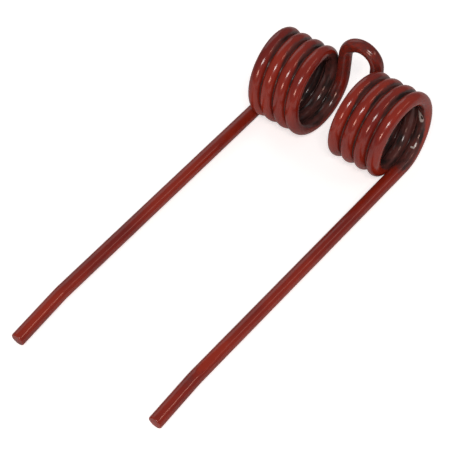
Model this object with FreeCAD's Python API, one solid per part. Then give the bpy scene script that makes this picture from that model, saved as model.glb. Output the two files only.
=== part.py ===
import FreeCAD, Part

import math
import os

from FreeCAD import Vector

# Double spring tine of a baler pick-up, bent in one length from round spring wire.
# Two coils lie side by side on one axis, joined by a raised bridge. Each runs out into a long straight leg.
# All sizes are millimetres and degrees. X runs along the axis of the coils, the legs point along -Y,
# and the tine lies on z = 0 on the undersides of its coils and on the tip of its longer leg, the left one.

# Wire
wire_diameter = 6.0
cut_end_chamfer = 0.45

# Coils
coil_bore = 28.5
coil_whole_turns = 4
gap_between_turns = 0.45
easing_angle = 30.0

# Bridge between the coils
bridge_width = 16.4
bridge_strand_length = 11.2
bridge_strand_lean = 1.0

# Legs
leg_straight_length = 139.0
leg_toe_in = 0.7
tip_bend_radius = 30.0
tip_bend_angle = 6.7
tip_straight_length = 22.0
left_tip_extra_length = 2.7

# Sizes that follow from those above
wire_radius = wire_diameter / 2
coil_radius = coil_bore / 2 + wire_radius
pitch = wire_diameter + gap_between_turns
quarter_turn = 90.0
left_tip_length = tip_straight_length + left_tip_extra_length
coil_angle = 360.0 * coil_whole_turns + quarter_turn
helix_angle = coil_angle - 2 * easing_angle
helix_length = pitch * helix_angle / 360.0
easing_length = pitch * easing_angle / 360.0 / 2
coil_length = helix_length + 2 * easing_length
helix_rise = pitch / (2 * math.pi * coil_radius)
inner_end = -bridge_width / 2
outer_end = inner_end - coil_length
coil_axis = Vector(1, 0, 0)


def out_from_axis(angle):
    """Direction from the coil's axis to its wire. The angle grows from the bottom towards the back."""
    turn = math.radians(angle)
    return Vector(0, math.sin(turn), -math.cos(turn))


def around_axis(angle):
    """Direction round the coil at this angle, level with the axis."""
    turn = math.radians(angle)
    return Vector(0, math.cos(turn), math.sin(turn))


def on_coil(place_along_axis, angle):
    """Point on the centre line of the coil's wire."""
    return coil_axis * place_along_axis + out_from_axis(angle) * coil_radius


def wire_section(centre, direction):
    """Round face of the wire, square to its direction."""
    circle = Part.makeCircle(wire_radius, centre, direction)
    return Part.Face(Part.Wire(circle))


def straight(start, direction, length):
    """Straight stretch of wire."""
    return wire_section(start, direction).extrude(direction * length)


def bend(start, direction, centre, axis, angle):
    """Bend of one radius, turned about an axis through its centre."""
    return wire_section(start, direction).revolve(centre, axis, angle)


def along(path):
    """Wire bent along any one smooth edge."""
    section = wire_section(path.valueAt(path.FirstParameter), path.tangentAt(path.FirstParameter))
    return Part.Wire(path).makePipeShell([section.OuterWire], True, True)


def easing(start, start_direction, end, end_direction):
    """Short curve that takes the wire from the slope of the coil to a flat run, or back."""
    reach = 4 / 3 * math.tan(math.radians(easing_angle) / 4) * coil_radius
    curve = Part.BezierCurve()
    curve.setPoles([start, start + start_direction * reach, end - end_direction * reach, end])
    return along(curve.toShape())


def coil():
    """Close-wound turns, eased into the leg at the bottom and into the bridge at the back."""
    first = easing_angle
    last = coil_angle - easing_angle
    helix = Part.makeHelix(pitch, helix_length, coil_radius)
    place = Vector(outer_end + easing_length, 0, 0)
    turned = FreeCAD.Rotation(out_from_axis(first), around_axis(first), coil_axis, "ZXY")
    helix.Placement = FreeCAD.Placement(place, turned)
    turns = along(helix.Edges[0])
    helix_start = on_coil(outer_end + easing_length, first)
    helix_end = on_coil(inner_end - easing_length, last)
    first_slope = (around_axis(first) + coil_axis * helix_rise).normalize()
    last_slope = (around_axis(last) + coil_axis * helix_rise).normalize()
    from_leg = easing(on_coil(outer_end, 0), leg_direction() * -1, helix_start, first_slope)
    to_bridge = easing(helix_end, last_slope, on_coil(inner_end, coil_angle), strand_direction())
    return [from_leg, turns, to_bridge]


def leg_direction():
    """The legs run forward from the bottom of the coils, and draw together a little."""
    toe = math.radians(leg_toe_in)
    return Vector(math.sin(toe), -math.cos(toe), 0)


def leg(tip_length):
    """Long straight leg with its tip bent down and cut off square."""
    direction = leg_direction()
    root = on_coil(outer_end, 0)
    shank = straight(root, direction, leg_straight_length)
    bend_start = root + direction * leg_straight_length
    bend_centre = bend_start - Vector(0, 0, tip_bend_radius)
    bend_axis = Vector(0, 0, 1).cross(direction)
    turned = FreeCAD.Rotation(bend_axis, tip_bend_angle)
    knee = bend(bend_start, direction, bend_centre, bend_axis, tip_bend_angle)
    tip_start = bend_centre + turned.multVec(bend_start - bend_centre)
    tip_direction = turned.multVec(direction)
    tip = straight(tip_start, tip_direction, tip_length)
    tip_end = tip_start + tip_direction * tip_length
    end_edge = min(tip.Edges, key=lambda edge: edge.CenterOfMass.distanceToPoint(tip_end))
    tip = tip.makeChamfer(cut_end_chamfer, [end_edge])
    return [shank, knee, tip]


def strand_direction():
    """The strands of the bridge leave the backs of the coils square to the legs and lean together a little."""
    lean = math.radians(bridge_strand_lean)
    return around_axis(coil_angle) * math.cos(lean) + coil_axis * math.sin(lean)


def half_bridge():
    """One strand and half of the round top, up to the middle of the tine."""
    start = on_coil(inner_end, coil_angle)
    direction = strand_direction()
    strand = straight(start, direction, bridge_strand_length)
    top_start = start + direction * bridge_strand_length
    lean = math.radians(bridge_strand_lean)
    top_radius = -top_start.x / math.cos(lean)
    top_centre = Vector(0, top_start.y, top_start.z) - around_axis(coil_angle) * (top_radius * math.sin(lean))
    top_axis = around_axis(coil_angle).cross(coil_axis)
    top = bend(top_start, direction, top_centre, top_axis, quarter_turn - bridge_strand_lean)
    return [strand, top]


def join(stretches):
    """Stretches of wire that meet end to end, made one."""
    whole = stretches[0].fuse(stretches[1:])
    return whole.removeSplitter()


def half(tip_length):
    """One half of the tine, from the tip of its leg to the middle of the bridge."""
    return join(leg(tip_length) + coil() + half_bridge())


def laid_down(tine):
    """Turn the tine about the coils' axis until its longer leg touches the surface that the coils lie on."""
    bend_turn = math.radians(tip_bend_angle)
    longer_tip = max(left_tip_length, tip_straight_length)
    reach = leg_straight_length + tip_bend_radius * math.sin(bend_turn) + longer_tip * math.cos(bend_turn)
    drop = tip_bend_radius * (1 - math.cos(bend_turn)) + longer_tip * math.sin(bend_turn)
    heel_forward = reach * math.cos(math.radians(leg_toe_in)) - wire_radius * math.sin(bend_turn)
    heel_below = coil_radius + drop + wire_radius * math.cos(bend_turn)
    heel_from_axis = math.hypot(heel_forward, heel_below)
    height_of_axis = coil_radius + wire_radius
    lift = math.atan2(heel_below, heel_forward) - math.asin(height_of_axis / heel_from_axis)
    tine.rotate(Vector(0, 0, 0), coil_axis, -math.degrees(lift))
    tine.translate(Vector(0, 0, height_of_axis))
    return tine


def centred(tine):
    """Put the origin under the middle of the tine."""
    box = tine.optimalBoundingBox(True, False)
    tine.translate(Vector(0, -(box.YMin + box.YMax) / 2, 0))
    return tine


left_half = half(left_tip_length)
right_half = half(tip_straight_length).mirror(Vector(0, 0, 0), coil_axis)
tine = centred(laid_down(join([left_half, right_half])))

os.makedirs("parts", exist_ok=True)
tine.exportStep("parts/tine.step")
print("solids", len(tine.Solids), "faces", len(tine.Faces), "valid", tine.isValid())
print("volume", round(tine.Volume, 1), "box", tine.optimalBoundingBox(True, False))
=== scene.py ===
import math

import bmesh
import bpy
from mathutils import Matrix, Vector, noise


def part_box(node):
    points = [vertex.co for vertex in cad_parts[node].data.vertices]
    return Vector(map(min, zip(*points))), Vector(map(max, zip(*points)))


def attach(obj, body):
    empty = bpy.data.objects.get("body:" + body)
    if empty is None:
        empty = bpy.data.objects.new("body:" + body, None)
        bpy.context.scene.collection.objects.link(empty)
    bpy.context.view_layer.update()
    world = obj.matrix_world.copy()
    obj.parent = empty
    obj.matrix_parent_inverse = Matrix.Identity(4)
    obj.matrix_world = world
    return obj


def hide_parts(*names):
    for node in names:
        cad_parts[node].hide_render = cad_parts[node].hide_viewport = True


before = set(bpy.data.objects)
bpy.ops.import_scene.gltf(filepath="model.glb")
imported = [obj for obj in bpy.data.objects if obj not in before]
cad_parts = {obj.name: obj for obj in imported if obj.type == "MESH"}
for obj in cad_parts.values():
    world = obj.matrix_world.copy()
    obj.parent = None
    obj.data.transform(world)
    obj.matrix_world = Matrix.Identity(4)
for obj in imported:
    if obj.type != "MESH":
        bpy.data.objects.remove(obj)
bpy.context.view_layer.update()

# The bent wire.
# One length of round spring steel wire, bent cold on a spring former and then dipped in enamel.
# It is drawn here from the middle of the bridge out to the cut end of the right leg, then mirrored.
wire_radius = 0.003
coil_radius = 0.01725
turn_pitch = 0.00645
coil_turn = math.radians(4.25 * 360)
easing_turn = math.radians(30)
bridge_half_width = 0.0082
strand_length = 0.0112
strand_lean = math.radians(1.0)
shank_length = 0.139
toe_in = math.radians(0.7)
knee_radius = 0.030
knee_turn = math.radians(6.7)
tip_length = 0.022
left_tip_extra = 0.0027
cut_edge_rounding = 0.00045
sides_round_wire = 40
ring_turn_coil = math.radians(3.5)
ring_spacing_bend = 0.0007
ring_spacing_straight = 0.0015
ring_spacing_pressed = 0.0004

axis = Vector((1, 0, 0))
below = Vector((0, 0, -1))
quarter = math.pi / 2


def out_from_axis(turn):
    """From the axis of the coil to its wire. The turn grows from the bottom towards the back."""
    return Vector((0, math.sin(turn), -math.cos(turn)))


def around_axis(turn):
    """The way round the coil at this turn."""
    return Vector((0, math.cos(turn), math.sin(turn)))


def wire_end(place, direction, outward):
    """Where a cut across the wire would lie: its middle, the way the wire runs, and its outer side."""
    direction = direction.normalized()
    side = outward.cross(direction).normalized()
    out = direction.cross(side)
    turned = Matrix((side, out, direction)).transposed().to_4x4()
    return Matrix.Translation(place) @ turned


def straight(start, direction, length, outward, spacing=ring_spacing_straight):
    """A straight run."""
    steps = math.ceil(length / spacing)
    step = direction * length / steps
    return [wire_end(start + step * i, direction, outward) for i in range(1, steps + 1)]


def bent(start, direction, centre, turn_axis, turn, outward):
    """A bend of one radius."""
    steps = math.ceil(abs(turn) * (start - centre).length / ring_spacing_bend)
    places = []
    for i in range(1, steps + 1):
        turned = Matrix.Rotation(turn * i / steps, 3, turn_axis)
        places.append(wire_end(centre + turned @ (start - centre), turned @ direction, turned @ outward))
    return places


def eased(start, start_direction, end, end_direction, first_turn, last_turn):
    """The short curve between the slope of the coil and a flat run."""
    reach = 4 / 3 * math.tan(easing_turn / 4) * coil_radius
    after_start = start + start_direction * reach
    before_end = end - end_direction * reach
    steps = math.ceil(easing_turn / ring_turn_coil)
    places = []
    for i in range(1, steps + 1):
        t = i / steps
        u = 1 - t
        place = u**3 * start + 3 * u**2 * t * after_start + 3 * u * t**2 * before_end + t**3 * end
        slope = u**2 * (after_start - start) + 2 * u * t * (before_end - after_start)
        slope += t**2 * (end - before_end)
        places.append(wire_end(place, slope, out_from_axis(first_turn + (last_turn - first_turn) * t)))
    return places


# The raised bridge: half of its round top, then one straight strand down to the back of the coil.
back = out_from_axis(quarter)
up = around_axis(quarter)
strand_foot = axis * bridge_half_width + back * coil_radius
strand_direction = up * math.cos(strand_lean) - axis * math.sin(strand_lean)
strand_top = strand_foot + strand_direction * strand_length
top_radius = strand_top.x / math.cos(strand_lean)
top_centre = strand_top - axis * strand_top.x - up * (top_radius * math.sin(strand_lean))
top_start = top_centre + up * top_radius
top_turn = quarter - strand_lean
middle = wire_end(top_start, axis, back)
top = bent(top_start, axis, top_centre, up.cross(axis), top_turn, back)
strand = straight(strand_top, strand_direction * -1, strand_length, back)

# The close-wound coil runs out along +X, while its turn falls from the back of the coil to its bottom.
helix_turn = coil_turn - 2 * easing_turn
helix_length = turn_pitch * helix_turn / math.tau
easing_length = turn_pitch * easing_turn / math.tau / 2
helix_inner = bridge_half_width + easing_length
helix_outer = helix_inner + helix_length
slope_along_axis = turn_pitch / (math.tau * coil_radius)


def down_the_coil(turn):
    """The way the wire runs where it winds down the coil, towards the leg."""
    return (axis * slope_along_axis - around_axis(turn)).normalized()


last_turn = coil_turn - easing_turn
helix_start = axis * helix_inner + out_from_axis(last_turn) * coil_radius
helix_way = down_the_coil(last_turn)
into_coil = eased(strand_foot, strand_direction * -1, helix_start, helix_way, coil_turn, last_turn)
helix_steps = math.ceil(helix_turn / ring_turn_coil)
coil = []
for i in range(1, helix_steps + 1):
    turn = last_turn - helix_turn * i / helix_steps
    place = axis * (helix_inner + helix_length * i / helix_steps) + out_from_axis(turn) * coil_radius
    coil.append(wire_end(place, down_the_coil(turn), out_from_axis(turn)))

# The leg: a long straight shank, the knee and the tip. Its rings lie closer where the press bore on it.
pressed_length = 0.020
leg_direction = Vector((-math.sin(toe_in), -math.cos(toe_in), 0))
leg_root = axis * (helix_outer + easing_length) + out_from_axis(0) * coil_radius
helix_end = axis * helix_outer + out_from_axis(easing_turn) * coil_radius
out_of_coil = eased(helix_end, down_the_coil(easing_turn), leg_root, leg_direction, easing_turn, 0)
pressed_start = leg_root + leg_direction * (shank_length - pressed_length)
shank = straight(leg_root, leg_direction, shank_length - pressed_length, below)
shank += straight(pressed_start, leg_direction, pressed_length, below, ring_spacing_pressed)
knee_start = leg_root + leg_direction * shank_length
knee_axis = below.cross(leg_direction)
knee_centre = knee_start + below * knee_radius
knee = bent(knee_start, leg_direction, knee_centre, knee_axis, -knee_turn, below)
tip_turned = Matrix.Rotation(-knee_turn, 3, knee_axis)
tip_start = knee_centre + tip_turned @ (knee_start - knee_centre)
tip_direction = tip_turned @ leg_direction
tip = straight(tip_start, tip_direction, tip_length, tip_turned @ below)


def drawn_along(bm, on_wire, section, places, run):
    """Draw a closed section through these places. Its points note their place across, out and along."""
    for vert in section:
        vert[on_wire] = (vert.co.x, vert.co.y, run)
    ring = list(bm.edges)
    bmesh.ops.transform(bm, matrix=places[0], verts=section)
    for here, there in zip(places, places[1:]):
        drawn = bmesh.ops.extrude_edge_only(bm, edges=ring)["geom"]
        new_verts = [part for part in drawn if isinstance(part, bmesh.types.BMVert)]
        bmesh.ops.transform(bm, matrix=there @ here.inverted(), verts=new_verts)
        run += (there.translation - here.translation).length
        for vert in new_verts:
            vert[on_wire].z = run
        fresh = set(new_verts)
        new_edges = [part for part in drawn if isinstance(part, bmesh.types.BMEdge)]
        ring = [edge for edge in new_edges if fresh.issuperset(edge.verts)]
    return ring, run


def add_left_half(bm):
    """Mirror the right half, joined to it where the two meet at x = 0."""
    right_half = list(bm.verts) + list(bm.edges) + list(bm.faces)
    bmesh.ops.mirror(bm, geom=right_half, axis="X", merge_dist=1e-6)
    bmesh.ops.recalc_face_normals(bm, faces=list(bm.faces))


def finished(bm, name):
    """The finished mesh as a piece of this name."""
    mesh = bpy.data.meshes.new(name)
    bm.to_mesh(mesh)
    bm.free()
    mesh.shade_smooth()
    piece = bpy.data.objects.new(name, mesh)
    bpy.context.collection.objects.link(piece)
    return piece


wire = bmesh.new()
on_wire = wire.verts.layers.float_vector.new("on_wire")
round_section = bmesh.ops.create_circle(wire, segments=sides_round_wire, radius=wire_radius)["verts"]
wire_places = [middle] + top + strand + into_coil + coil + out_of_coil + shank + knee + tip
last_ring, wire_half_length = drawn_along(wire, on_wire, round_section, wire_places, run=0.0)

# The cut end is flat, with its sharp edge rounded by the paint.
cut = bmesh.ops.edgeloop_fill(wire, edges=last_ring)["faces"]
bmesh.ops.bevel(
    wire,
    geom=list(cut[0].edges),
    offset=cut_edge_rounding,
    segments=4,
    profile=0.5,
    affect="EDGES",
    material=-1,
)
add_left_half(wire)
for vert in wire.verts:
    if vert.co.x < 0:
        vert[on_wire].z *= -1

# Painted shade darkens the insides of the turns, the grooves, and the right sides of the turns on top and
# at the back. These say how far out from the middle of the wire the painted shade reaches, in wire radii.
shade_line_inside = 0.1
shade_line_at_back = 1.0
shade_line_open_side = -0.6
shade_line_sheltered = 0.55
shade_fade_width = 0.5
# How much painted shade the open side of an end turn takes at a coil's bottom, and behind on the left coil.
shelter_below = 0.4
shelter_behind = 0.6
# Painted shade runs from 0 on full enamel to 1 on the dark shade colours; dullness takes from the gloss.
shade_in_groove = 0.5
shade_on_bridge = 0.47
dull_in_groove = 0.7
dull_on_strand = 1.2
dull_on_leg = 0.30
dull_more_at_knee = 0.15
# Each pair is where a fade starts and where it is full: in coil radii at the back, in wire radii in the
# groove, and else in radians of turn. The last two fades are lengths.
fade_to_back = (-0.31, 0.46)
fade_into_groove = (0.75, 1)
fade_from_neighbour = (0, 0.8)
fade_from_leg = (-0.54, 0.06)
fade_from_bridge = (-0.48, 1.12)
fade_onto_bridge = (-0.32, 0.08)
fade_up_strand = 0.004
fade_down_leg = 0.003


def rising(value, start, end):
    """0 up to the start, 1 from the end on, and a straight rise between them."""
    return max(0, min(1, (value - start) / (end - start)))


painted_shade = wire.verts.layers.float.new("painted_shade")
dull = wire.verts.layers.float.new("dull")
strand_begins = top_radius * top_turn
coil_begins = strand_begins + strand_length
coil_ends = wire_half_length - shank_length - knee_radius * knee_turn - tip_length
for vert in wire.verts:
    side, out, along = vert[on_wire]
    from_middle = abs(along)
    turn = coil_turn * (coil_ends - from_middle) / (coil_ends - coil_begins)
    on_left = vert.co.x < 0
    faces_right = side > 0 if on_left else side < 0
    past_neighbour = math.tau - turn if side < 0 else turn - coil_turn + math.tau
    open_side = rising(past_neighbour, *fade_from_neighbour)
    at_back = rising(math.sin(turn - quarter / 2), *fade_to_back)
    sheltered = max(0, shelter_below * math.cos(turn))
    if on_left and turn < coil_turn - quarter:
        sheltered = max(sheltered, min(1, shelter_behind + math.sin(turn)))
    shade_line = shade_line_inside
    if faces_right:
        shade_line += (shade_line_at_back - shade_line_inside) * at_back
    shade_line_when_open = shade_line_open_side + (shade_line_sheltered - shade_line_open_side) * sheltered
    shade_line += (shade_line_when_open - shade_line) * open_side
    shade_here = rising(shade_line - out / wire_radius, 0, shade_fade_width)
    in_coil = min(rising(turn, *fade_from_leg), rising(coil_turn - turn, *fade_from_bridge))
    in_groove = rising(abs(side) / wire_radius, *fade_into_groove) * (1 - open_side) * in_coil
    on_bridge = rising(turn - coil_turn, *fade_onto_bridge)
    on_strand = on_bridge * rising(from_middle, strand_begins, strand_begins + fade_up_strand)
    down_leg = max(0, from_middle - coil_ends)
    dull_here = dull_on_leg + dull_more_at_knee * down_leg / shank_length
    worn = dull_here * rising(down_leg, 0, fade_down_leg)
    vert[painted_shade] = max(shade_here * in_coil + shade_in_groove * in_groove, shade_on_bridge * on_bridge)
    vert[dull] = max(vert[painted_shade] + dull_in_groove * in_groove, dull_on_strand * on_strand, worn)

# The press that bent the knee left a shallow flat with a rounded end on the right leg, and the top of the
# wire past it is darkened with painted shade.
flat_depth = 0.0005
flat_past_knee_start = 0.0010
flat_end = coil_ends + shank_length + flat_past_knee_start
flat_end_rounding = 0.0018
flat_faces = math.radians(-172)
flat_side = math.sin(flat_faces)
flat_out = math.cos(flat_faces)
pressed_way = knee_axis * flat_side + below * flat_out
shade_past_flat_middle = flat_end + 0.0045
shade_past_flat_half_length = 0.0065
shade_past_flat_level = 0.42
for vert in wire.verts:
    side, out, along = vert[on_wire]
    from_end = flat_end - along
    if vert.co.x > 0 and 0 < from_end < pressed_length:
        at_end = math.sqrt(min(1, from_end / flat_end_rounding))
        deep = flat_depth * at_end * (1 - from_end / pressed_length)
        above_flat = side * flat_side + out * flat_out - (wire_radius - deep)
        if above_flat > 0:
            vert.co -= pressed_way * above_flat
    in_shade_past_flat = max(0, 1 - abs(along - shade_past_flat_middle) / shade_past_flat_half_length)
    vert[painted_shade] += shade_past_flat_level * in_shade_past_flat * max(0, -out) / wire_radius

# The left leg was cut a little longer, so its tip is drawn out.
left_tip_direction = tip_direction * Vector((-1, 1, 1))
tip_root = wire_half_length - tip_length
for vert in wire.verts:
    beyond = -vert[on_wire].z - tip_root
    if beyond > 0:
        stretch = left_tip_extra * beyond / tip_length
        vert.co += left_tip_direction * stretch
        vert[on_wire].z -= stretch

# Laid down, it rests on the undersides of the coils and the tip of the longer leg, where the frame has it.
longer_tip = tip_length + left_tip_extra
tip_reach = shank_length + knee_radius * math.sin(knee_turn) + longer_tip * math.cos(knee_turn)
tip_drop = knee_radius * (1 - math.cos(knee_turn)) + longer_tip * math.sin(knee_turn)
heel_forward = tip_reach * math.cos(toe_in) - wire_radius * math.sin(knee_turn)
heel_below = coil_radius + tip_drop + wire_radius * math.cos(knee_turn)
axis_height = coil_radius + wire_radius
lift = math.atan2(heel_below, heel_forward) - math.asin(axis_height / math.hypot(heel_forward, heel_below))
laid_down = Matrix.Rotation(-lift, 3, "X")
bmesh.ops.rotate(wire, verts=list(wire.verts), matrix=laid_down)
frame_high = Vector(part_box("tine")[1])
back_of_wire = max(vert.co.y for vert in wire.verts)
top_of_wire = max(vert.co.z for vert in wire.verts)
seat = Vector((0, frame_high.y - back_of_wire, frame_high.z - top_of_wire))
bmesh.ops.translate(wire, verts=list(wire.verts), vec=seat)

# Dipped paint dries a little wavy. The wave only goes inward, so the wire keeps its size.
wave_depth = 0.00003
wave_size = 0.0045
wire.normal_update()
inward = {}
for vert in wire.verts:
    wave = 0.5 + 0.5 * noise.noise(vert[on_wire] / wave_size)
    inward[vert] = vert.normal * (-wave_depth * wave)
for vert, move in inward.items():
    vert.co += move
spring_wire = finished(wire, "spring_wire")

# Brown-red machinery enamel lies over all of it, glossy, and slightly uneven in colour and thickness.
paint_red = (0.235, 0.020, 0.009, 1)
paint_deep = (0.165, 0.013, 0.008, 1)
paint_bright = (0.290, 0.026, 0.010, 1)
# The next two are the dark colours of painted shade; the black one is also the dark spot in the leaf.
shade_and_spot_black = (0.030, 0.021, 0.020, 1)
shade_brown = (0.100, 0.035, 0.031, 1)
# A pale grey for the leaf-shaped spot and for a painted glint.
spot_and_glint_grey = (0.42, 0.41, 0.39, 1)
full_gloss = 0.59
gloss_lost_where_dull = 0.20
peel_depth = 0.00008
full_peel = 0.07
peel_lost_where_shaded = 0.03

paint = bpy.data.materials.new("brown_red_enamel")
paint.use_nodes = True
nodes = paint.node_tree.nodes
links = paint.node_tree.links
shader = nodes["Principled BSDF"]
shader.inputs["Roughness"].default_value = 0.5
shader.inputs["Specular IOR Level"].default_value = 0.0
shader.inputs["Coat Roughness"].default_value = 0.16
shader.inputs["Coat IOR"].default_value = 1.75


def kept_on_mesh(layer):
    """What the mesh keeps at each point under this name."""
    kept = nodes.new("ShaderNodeAttribute")
    kept.attribute_name = layer
    return kept


wire_place = kept_on_mesh("on_wire").outputs["Vector"]
painted_shade_level = kept_on_mesh("painted_shade").outputs["Fac"]
dull_paint = kept_on_mesh("dull").outputs["Fac"]


def paint_noise(size, detail, stretch=(1, 1, 1)):
    """Noise that follows the wire, with features of about this size in metres."""
    scaled = nodes.new("ShaderNodeMapping")
    scaled.inputs["Scale"].default_value = [s / size for s in stretch]
    links.new(wire_place, scaled.inputs["Vector"])
    pattern = nodes.new("ShaderNodeTexNoise")
    pattern.inputs["Scale"].default_value = 1.0
    pattern.inputs["Detail"].default_value = detail
    links.new(scaled.outputs["Vector"], pattern.inputs["Vector"])
    return pattern.outputs["Fac"]


def coloured(value, stops):
    """A colour that follows a value through these stops, each a level and its colour."""
    ramp = nodes.new("ShaderNodeValToRGB")
    elements = ramp.color_ramp.elements
    elements.remove(elements[-1])
    elements[0].position, elements[0].color = stops[0]
    for level, stop_colour in stops[1:]:
        elements.new(level).color = stop_colour
    links.new(value, ramp.inputs["Fac"])
    return ramp.outputs["Color"]


def laid_over(under, over, mask):
    """One colour over another, where the mask is 1."""
    mixed = nodes.new("ShaderNodeMix")
    mixed.data_type = "RGBA"
    links.new(mask, mixed.inputs[0])
    links.new(under, mixed.inputs[6])
    if isinstance(over, tuple):
        mixed.inputs[7].default_value = over
    else:
        links.new(over, mixed.inputs[7])
    return mixed.outputs[2]


def ranged(value, low, high):
    """A value brought to 0 at one level and 1 at the other."""
    limits = nodes.new("ShaderNodeMapRange")
    limits.interpolation_type = "SMOOTHSTEP"
    limits.inputs["From Min"].default_value = low
    limits.inputs["From Max"].default_value = high
    links.new(value, limits.inputs["Value"])
    return limits.outputs["Result"]


def worked(material, operation, *values):
    """Simple arithmetic in a material, on plain numbers and on what its nodes give."""
    sum_node = material.node_tree.nodes.new("ShaderNodeMath")
    sum_node.operation = operation
    for value, socket in zip(values, sum_node.inputs):
        if isinstance(value, (int, float)):
            socket.default_value = value
        else:
            material.node_tree.links.new(value, socket)
    return sum_node.outputs["Value"]


clouds = paint_noise(size=0.009, detail=4, stretch=(1, 1, 0.35))
enamel = coloured(clouds, [(0.32, paint_deep), (0.5, paint_red), (0.68, paint_bright)])

# Dark shade colours are painted where the mesh keeps its painted shade, with a ragged edge.
raggedness = 0.8
shade_first_shows = 0.15
shade_shows_fully = 0.85
grain = worked(paint, "SUBTRACT", paint_noise(size=0.0012, detail=3), 0.5)
ragged = worked(paint, "MULTIPLY", grain, raggedness)
painted_shade_mask = ranged(worked(paint, "ADD", painted_shade_level, ragged), shade_first_shows, shade_shows_fully)
patches = paint_noise(size=0.0030, detail=3, stretch=(1, 1, 0.3))
shade_tones = coloured(patches, [(0.38, shade_and_spot_black), (0.56, shade_brown)])
colour = laid_over(enamel, shade_tones, painted_shade_mask)

mark_edge = 0.12


def mark(across, along, half_width, half_length, lean=0):
    """1 on a spot of the wire's inner face, this far across and along the wire, and 0 around it."""
    moved = nodes.new("ShaderNodeMapping")
    moved.vector_type = "TEXTURE"
    moved.inputs["Location"].default_value = (across, -wire_radius, along)
    moved.inputs["Rotation"].default_value = (0, math.radians(lean), 0)
    moved.inputs["Scale"].default_value = (half_width, wire_radius, half_length)
    links.new(wire_place, moved.inputs["Vector"])
    away = nodes.new("ShaderNodeVectorMath")
    away.operation = "LENGTH"
    links.new(moved.outputs["Vector"], away.inputs[0])
    return ranged(worked(paint, "ADD", away.outputs["Value"], ragged), 1 + mark_edge, 1 - mark_edge)


# Inside the right coil lie a grey spot like a leaf with a dark spot in it, and nearer the leg a painted
# glint like a hook, of two strokes, in the same grey.
leaf = mark(across=0.0006, along=coil_ends - 0.0282, half_width=0.00125, half_length=0.0037, lean=-14)
spot = mark(across=-0.0002, along=coil_ends - 0.0277, half_width=0.0005, half_length=0.0012, lean=-14)
glint_foot = mark(across=0.0001, along=coil_ends - 0.0101, half_width=0.0009, half_length=0.00045)
glint_stem = mark(across=-0.00078, along=coil_ends - 0.0116, half_width=0.00035, half_length=0.0017)
colour = laid_over(colour, spot_and_glint_grey, leaf)
colour = laid_over(colour, shade_and_spot_black, spot)
colour = laid_over(colour, spot_and_glint_grey, glint_foot)
colour = laid_over(colour, spot_and_glint_grey, glint_stem)

# The flat that the press left is painted a little brighter, as painted light.
painted_light_on_flat = mark(across=-0.0004, along=flat_end - 0.0095, half_width=0.0018, half_length=0.0093)
colour = laid_over(colour, paint_bright, painted_light_on_flat)
links.new(colour, shader.inputs["Base Color"])
gloss = worked(paint, "MULTIPLY_ADD", dull_paint, -gloss_lost_where_dull, full_gloss)
links.new(gloss, shader.inputs["Coat Weight"])

# The faint orange peel of thick paint, less under the painted shade.
peel = nodes.new("ShaderNodeBump")
peel.inputs["Distance"].default_value = peel_depth
peel_strength = worked(paint, "MULTIPLY_ADD", painted_shade_mask, -peel_lost_where_shaded, full_peel)
links.new(peel_strength, peel.inputs["Strength"])
links.new(paint_noise(size=0.0012, detail=2, stretch=(1, 1, 0.35)), peel.inputs["Height"])
links.new(peel.outputs["Normal"], shader.inputs["Normal"])
links.new(peel.outputs["Normal"], shader.inputs["Coat Normal"])

spring_wire.data.materials.append(paint)
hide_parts("tine")
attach(spring_wire, "root")

# The paint between the turns.
# Where the turns all but touch, the wet enamel ran together and dried as a thin web that closes the gap.
# It is the same enamel, hollowed a little between the two turns that it joins.
web_half_width = 0.00055
web_climb = 0.0010
web_hollow = 0.0006
# The web's colour is darkened with painted shade in the groove, most on the inside and more at the back.
web_shade_inside = 0.95
web_shade_outside = 0.75
web_shade_more_at_back = 0.2
web_dullness = 1.9
web_first_turn = math.radians(-6)
web_last_turn = coil_turn - math.tau
web_outline = [
    (-web_half_width, web_climb),
    (-web_half_width / 2, web_hollow),
    (web_half_width / 2, web_hollow),
    (web_half_width, web_climb),
    (web_half_width, -web_climb),
    (web_half_width / 2, -web_hollow),
    (-web_half_width / 2, -web_hollow),
    (-web_half_width, -web_climb),
]


def along_axis(turn):
    """How far along the axis the wire stands at this turn, with the easing at both ends of the coil."""
    on_helix = helix_outer - helix_length * (turn - easing_turn) / helix_turn
    at_leg = max(0, 1 - turn / easing_turn)
    at_bridge = max(0, 1 - (coil_turn - turn) / easing_turn)
    return on_helix + easing_length * (at_bridge**2 - at_leg**2)


web_steps = math.ceil((web_last_turn - web_first_turn) / ring_turn_coil)
web_places = []
for i in range(web_steps + 1):
    turn = web_first_turn + (web_last_turn - web_first_turn) * i / web_steps
    web_x = (along_axis(turn) + along_axis(turn + math.tau)) / 2
    place = axis * web_x + out_from_axis(turn) * coil_radius
    web_places.append(wire_end(place, around_axis(turn), out_from_axis(turn)))

web = bmesh.new()
on_web = web.verts.layers.float_vector.new("on_wire")
web_section = [web.verts.new((side, out, 0)) for side, out in web_outline]
first_ring = [web.edges.new(pair) for pair in zip(web_section, web_section[1:] + web_section[:1])]
last_ring = drawn_along(web, on_web, web_section, web_places, run=web_first_turn * coil_radius)[0]
for ring in (first_ring, last_ring):
    bmesh.ops.edgeloop_fill(web, edges=ring)
web_shade = web.verts.layers.float.new("painted_shade")
web_dull = web.verts.layers.float.new("dull")
for vert in web.verts:
    side, out, along = vert[on_web]
    at_back = max(0, math.sin(along / coil_radius - quarter / 2))
    vert[web_shade] = web_shade_inside if out < 0 else web_shade_outside + web_shade_more_at_back * at_back
    vert[web_dull] = web_dullness
add_left_half(web)
bmesh.ops.rotate(web, verts=list(web.verts), matrix=laid_down)
bmesh.ops.translate(web, verts=list(web.verts), vec=seat)
paint_between_turns = finished(web, "paint_between_turns")
paint_between_turns.data.materials.append(paint)
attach(paint_between_turns, "root")

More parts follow.
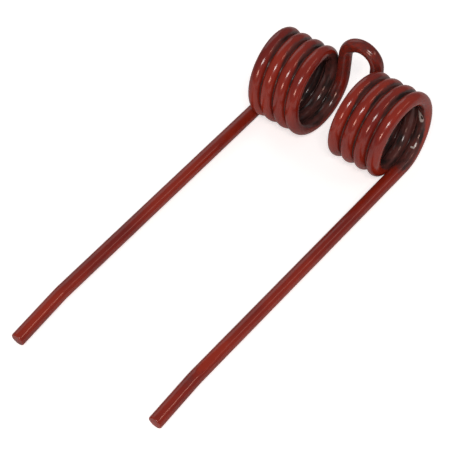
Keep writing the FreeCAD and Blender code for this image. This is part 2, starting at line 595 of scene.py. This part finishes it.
# The floor.
# A plain white table top that the tine lies on. It glows a little where gloss mirrors it, and more where
# the camera sees it, so that it looks white and keeps the tine's shadow.
floor_size = 40.0
floor_white = (0.80, 0.80, 0.80, 1)
glow_in_gloss = 0.11
glow_for_camera = 0.49
floor_bm = bmesh.new()
bmesh.ops.create_grid(floor_bm, x_segments=1, y_segments=1, size=floor_size / 2)
floor = finished(floor_bm, "floor")
white_table = bpy.data.materials.new("white_table")
white_table.use_nodes = True
white_shader = white_table.node_tree.nodes["Principled BSDF"]
white_shader.inputs["Base Color"].default_value = floor_white
white_shader.inputs["Roughness"].default_value = 0.8
white_shader.inputs["Specular IOR Level"].default_value = 0.1
ray = white_table.node_tree.nodes.new("ShaderNodeLightPath")
camera_ray = ray.outputs["Is Camera Ray"]
gloss_ray = ray.outputs["Is Glossy Ray"]
mirrored = worked(white_table, "MAXIMUM", gloss_ray, ray.outputs["Is Transmission Ray"])
seen = worked(white_table, "MAXIMUM", camera_ray, mirrored)
lifted = worked(white_table, "MULTIPLY", seen, glow_in_gloss)
glow = worked(white_table, "MULTIPLY_ADD", camera_ray, glow_for_camera, lifted)
white_shader.inputs["Emission Color"].default_value = (1, 1, 1, 1)
white_table.node_tree.links.new(glow, white_shader.inputs["Emission Strength"])
floor.data.materials.append(white_table)

# The light.
# A soft lamp in front and above, a warm one low in front, two narrow warm ones to the right, and a large
# pale wall to the left. The lamps are far off for their size, so they draw short lines in the gloss.
coils_middle = Vector((0, 0.072, 0.020))


def lamp(name, watts, colour, direction, distance, size, along=(0, 0, 1)):
    """A soft lamp that looks at the coils from this direction. Its second side lies nearest to along."""
    data = bpy.data.lights.new(name, "AREA")
    data.shape = "RECTANGLE"
    data.size, data.size_y = size
    data.energy = watts
    data.color = colour
    facing = Vector(direction).normalized()
    side = Vector(along).cross(facing).normalized()
    upright = facing.cross(side)
    turned = Matrix((side, upright, facing)).transposed().to_4x4()
    lamp_object = bpy.data.objects.new(name, data)
    lamp_object.matrix_world = Matrix.Translation(coils_middle + facing * distance) @ turned
    bpy.context.collection.objects.link(lamp_object)


legs_way = (0, 1, 0)
lamp("key", 5.0, (1, 0.94, 0.91), (0.33, -0.51, 0.77), distance=1.2, size=(0.41, 0.24))
lamp("right", 1.2, (1, 0.55, 0.42), (0.67, 0.14, 0.73), distance=1.2, size=(0.10, 0.32), along=legs_way)
lamp("back_right", 0.55, (1, 0.6, 0.5), (0.56, 0.50, 0.66), distance=1.2, size=(0.14, 0.40), along=legs_way)
lamp("warm_front", 2.9, (1, 0.6, 0.48), (0.2, -0.86, 0.41), distance=1.1, size=(0.26, 0.24))
lamp("white_wall_left", 2.9, (1, 1, 1), (-0.74, 0.43, 0.52), distance=1.5, size=(1.2, 1.0))

sky = bpy.data.worlds.new("studio")
bpy.context.scene.world = sky
sky.use_nodes = True
background = sky.node_tree.nodes["Background"]
background.inputs["Color"].default_value = (0.22, 0.22, 0.23, 1)

# The camera.
# It stands in front of the right leg and looks down at the tine, as in the photograph.
camera_place = (0.234824, -0.315703, 0.467096)
camera_turn = (40.546, -0.231, 37.291)
camera_data = bpy.data.cameras.new("camera")
camera_data.sensor_width = 36
camera_data.lens = 118.208
camera = bpy.data.objects.new("camera", camera_data)
camera.location = camera_place
camera.rotation_euler = [math.radians(angle) for angle in camera_turn]
bpy.context.collection.objects.link(camera)
bpy.context.scene.camera = camera
bpy.context.scene.view_settings.view_transform = "Standard"
